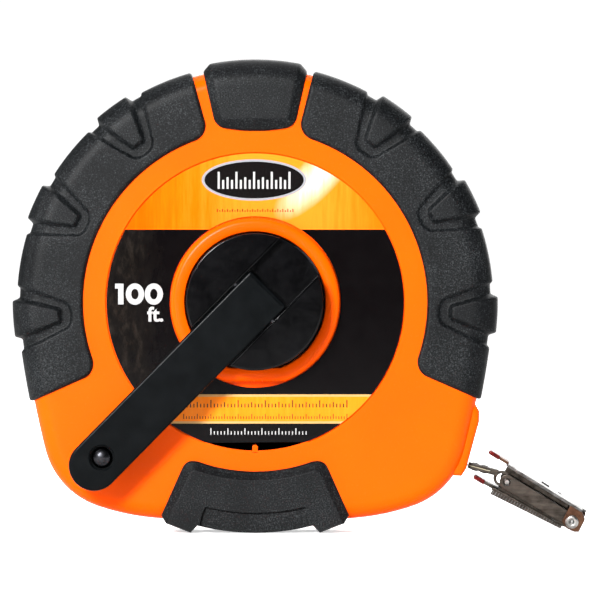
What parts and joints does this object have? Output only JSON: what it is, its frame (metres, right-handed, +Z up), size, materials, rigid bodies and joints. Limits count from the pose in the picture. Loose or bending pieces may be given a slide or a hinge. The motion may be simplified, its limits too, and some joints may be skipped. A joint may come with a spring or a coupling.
{
  "type": "surveyor tape reel",
  "caption": "Closed-case long tape reel with rubber armour, fold-out crank on a rotating hub, coiled steel blade on a drum and a folding double-claw end hook.",
  "frame": {"origin": "on the resting plane under the base pad, straight below the drum axis and in the case's middle plane", "axes": "+X towards the tape mouth and end hook, +Y from the crank side to the back of the case, +Z up"},
  "size_m": [0.1697, 0.0406, 0.1399],
  "materials": {
    "case_plastic": "satin orange impact plastic",
    "armour_rubber": "finely grained charcoal rubber",
    "label_film": "printed gloss film",
    "hub_plastic": "gloss black",
    "arm_plastic": "satin black",
    "inner_plastic": "moulded black nylon",
    "blade_enamel": "enamelled spring steel",
    "steel": "zinc plated",
    "hook_steel": "stamped nickel-plated sheet",
    "bronze": "sintered bronze",
    "red_dip": "dipped dark red vinyl"
  },
  "bodies": {
    "case": {"front_case_shell": "case_plastic", "rear_case_shell": "case_plastic", "case_screw_1": "steel", "case_screw_2": "steel", "case_screw_3": "steel", "case_screw_4": "steel", "case_screw_5": "steel", "front_left_grip": "armour_rubber", "rear_left_grip": "armour_rubber", "front_right_grip": "armour_rubber", "rear_right_grip": "armour_rubber", "front_top_lug": "armour_rubber", "rear_top_lug": "armour_rubber", "front_base_pad": "armour_rubber", "rear_base_pad": "armour_rubber", "front_label": "label_film", "rear_label": "label_film", "mouth_guide": "inner_plastic", "spindle": "steel", "spindle_screw": "steel", "spindle_washer": "steel"},
    "drum": {"front_bush": "bronze", "rear_bush": "bronze", "drum_core": "inner_plastic", "front_flange": "inner_plastic", "rear_flange": "inner_plastic", "blade_anchor_pin": "steel", "hub_screw_1": "steel", "hub_screw_2": "steel", "hub_screw_3": "steel", "blade_coil": "blade_enamel", "crank_hub": "hub_plastic", "crank_pin": "steel"},
    "crank": {"crank_arm": "arm_plastic", "knob_rivet": "steel"},
    "knob": {"crank_knob": "arm_plastic"},
    "tape_end": {"blade_tail": "blade_enamel", "tape_clip": "hook_steel", "clip_rivet_1": "hook_steel", "clip_rivet_2": "hook_steel"},
    "hook": {"hook_pin": "steel", "hook_body": "hook_steel", "hook_eyelet": "steel"},
    "upper_claw": {"upper_claw": "hook_steel", "upper_claw_tip": "red_dip"},
    "lower_claw": {"lower_claw": "hook_steel", "lower_claw_tip": "red_dip"}
  },
  "joints": [
    {"name": "tape_payout", "type": "slide", "parent": "case", "child": "tape_end", "axis": [1, 0, 0], "range_m": [0, 0.055]},
    {"name": "drum_spin", "type": "hinge", "parent": "case", "child": "drum", "pos_m": [0, 0, 0.0679], "axis": [0, 1, 0], "continuous": true},
    {"name": "crank_fold", "type": "hinge", "parent": "drum", "child": "crank", "pos_m": [0, -0.02455, 0.0679], "axis": [-0.7132, 0, 0.7009], "range_deg": [0, 180]},
    {"name": "knob_spin", "type": "hinge", "parent": "crank", "child": "knob", "pos_m": [-0.04458, -0.01845, 0.02254], "axis": [0, 1, 0], "continuous": true},
    {"name": "hook_swing", "type": "hinge", "parent": "tape_end", "child": "hook", "pos_m": [0.07471, 0, 0.01518], "axis": [-0.0761, -0.989, -0.1267], "range_deg": [0, 18]},
    {"name": "upper_claw_open", "type": "hinge", "parent": "hook", "child": "upper_claw", "pos_m": [0.09391, 0, 0.00364], "axis": [0.0761, 0.989, 0.1267], "range_deg": [0, 90]},
    {"name": "lower_claw_open", "type": "hinge", "parent": "hook", "child": "lower_claw", "pos_m": [0.09391, 0, 0.00364], "axis": [-0.0761, -0.989, -0.1267], "range_deg": [0, 90]}
  ],
  "couplings": [
    {"joint": "drum_spin", "follows": "tape_payout", "rad_per_m": -21.008}
  ]
}
